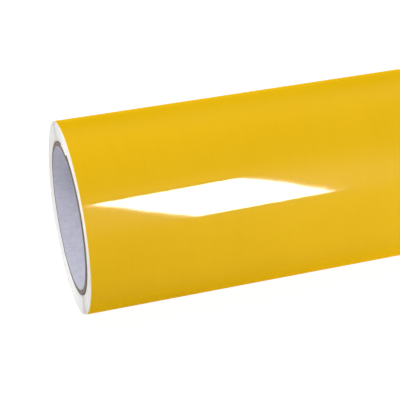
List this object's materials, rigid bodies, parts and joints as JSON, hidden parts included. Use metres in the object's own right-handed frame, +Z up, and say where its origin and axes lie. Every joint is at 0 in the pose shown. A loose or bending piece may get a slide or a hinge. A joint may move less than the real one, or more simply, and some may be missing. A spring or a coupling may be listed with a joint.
{
  "type": "roll of sign vinyl",
  "caption": "Roll of glossy self-adhesive sign vinyl, wound film side out on a spiral-wound paperboard core, with a tail that lifts and film that peels from its white liner.",
  "frame": {"origin": "on the roll's axis, at the middle of the core's bore", "axes": "+X along the roll's axis, +Y to the back where the cut edge lies, +Z up when the roll lies on its side"},
  "size_m": [0.197, 0.1034, 0.1032],
  "materials": {
    "core_lining": "smooth lavender-grey calendered paper",
    "core_board": "raw grey-brown core board",
    "core_kraft": "brown kraft paper",
    "tissue_tape": "double-sided tissue tape",
    "release_liner": "white clay-coated silicone release paper",
    "adhesive": "clear acrylic pressure-sensitive adhesive",
    "vinyl_film": "high-gloss golden yellow calendered vinyl",
    "tab_tape": "translucent matt low-tack tape"
  },
  "bodies": {
    "roll": {"core_inner_ply": "core_lining", "core_ply_2": "core_board", "core_ply_3": "core_board", "core_ply_4": "core_board", "core_ply_5": "core_board", "core_ply_6": "core_board", "core_outer_ply": "core_kraft", "start_tape": "tissue_tape", "wound_liner": "release_liner", "wound_adhesive": "adhesive", "wound_film": "vinyl_film", "outer_film": "vinyl_film"},
    "tail": {"tail_liner": "release_liner", "tail_adhesive": "adhesive", "tail_film": "vinyl_film"},
    "film_flap": {"peel_adhesive": "adhesive", "peel_film": "vinyl_film", "tab_left_base": "tab_tape", "tab_right_base": "tab_tape"},
    "tab_left": {"tab_left_free": "tab_tape"},
    "tab_right": {"tab_right_free": "tab_tape"}
  },
  "joints": [
    {"name": "tail_lift", "type": "hinge", "parent": "roll", "child": "tail", "pos_m": [0, 0.04241, 0.02962], "axis": [1, 0, 0], "range_deg": [0, 80], "stiffness_Nm_per_rad": 0.002, "springref_deg": -17.19},
    {"name": "film_peel", "type": "hinge", "parent": "tail", "child": "film_flap", "pos_m": [0, 0.05178, -0.00007], "axis": [1, 0, 0], "range_deg": [0, 110], "stiffness_Nm_per_rad": 0.0005, "springref_deg": -17.19},
    {"name": "tab_left_peel", "type": "hinge", "parent": "film_flap", "child": "tab_left", "pos_m": [-0.062, 0.04698, -0.02198], "axis": [1, 0, 0], "range_deg": [0, 120], "stiffness_Nm_per_rad": 0.0001, "springref_deg": -17.19},
    {"name": "tab_right_peel", "type": "hinge", "parent": "film_flap", "child": "tab_right", "pos_m": [0.062, 0.04698, -0.02198], "axis": [1, 0, 0], "range_deg": [0, 120], "stiffness_Nm_per_rad": 0.0001, "springref_deg": -17.19}
  ]
}
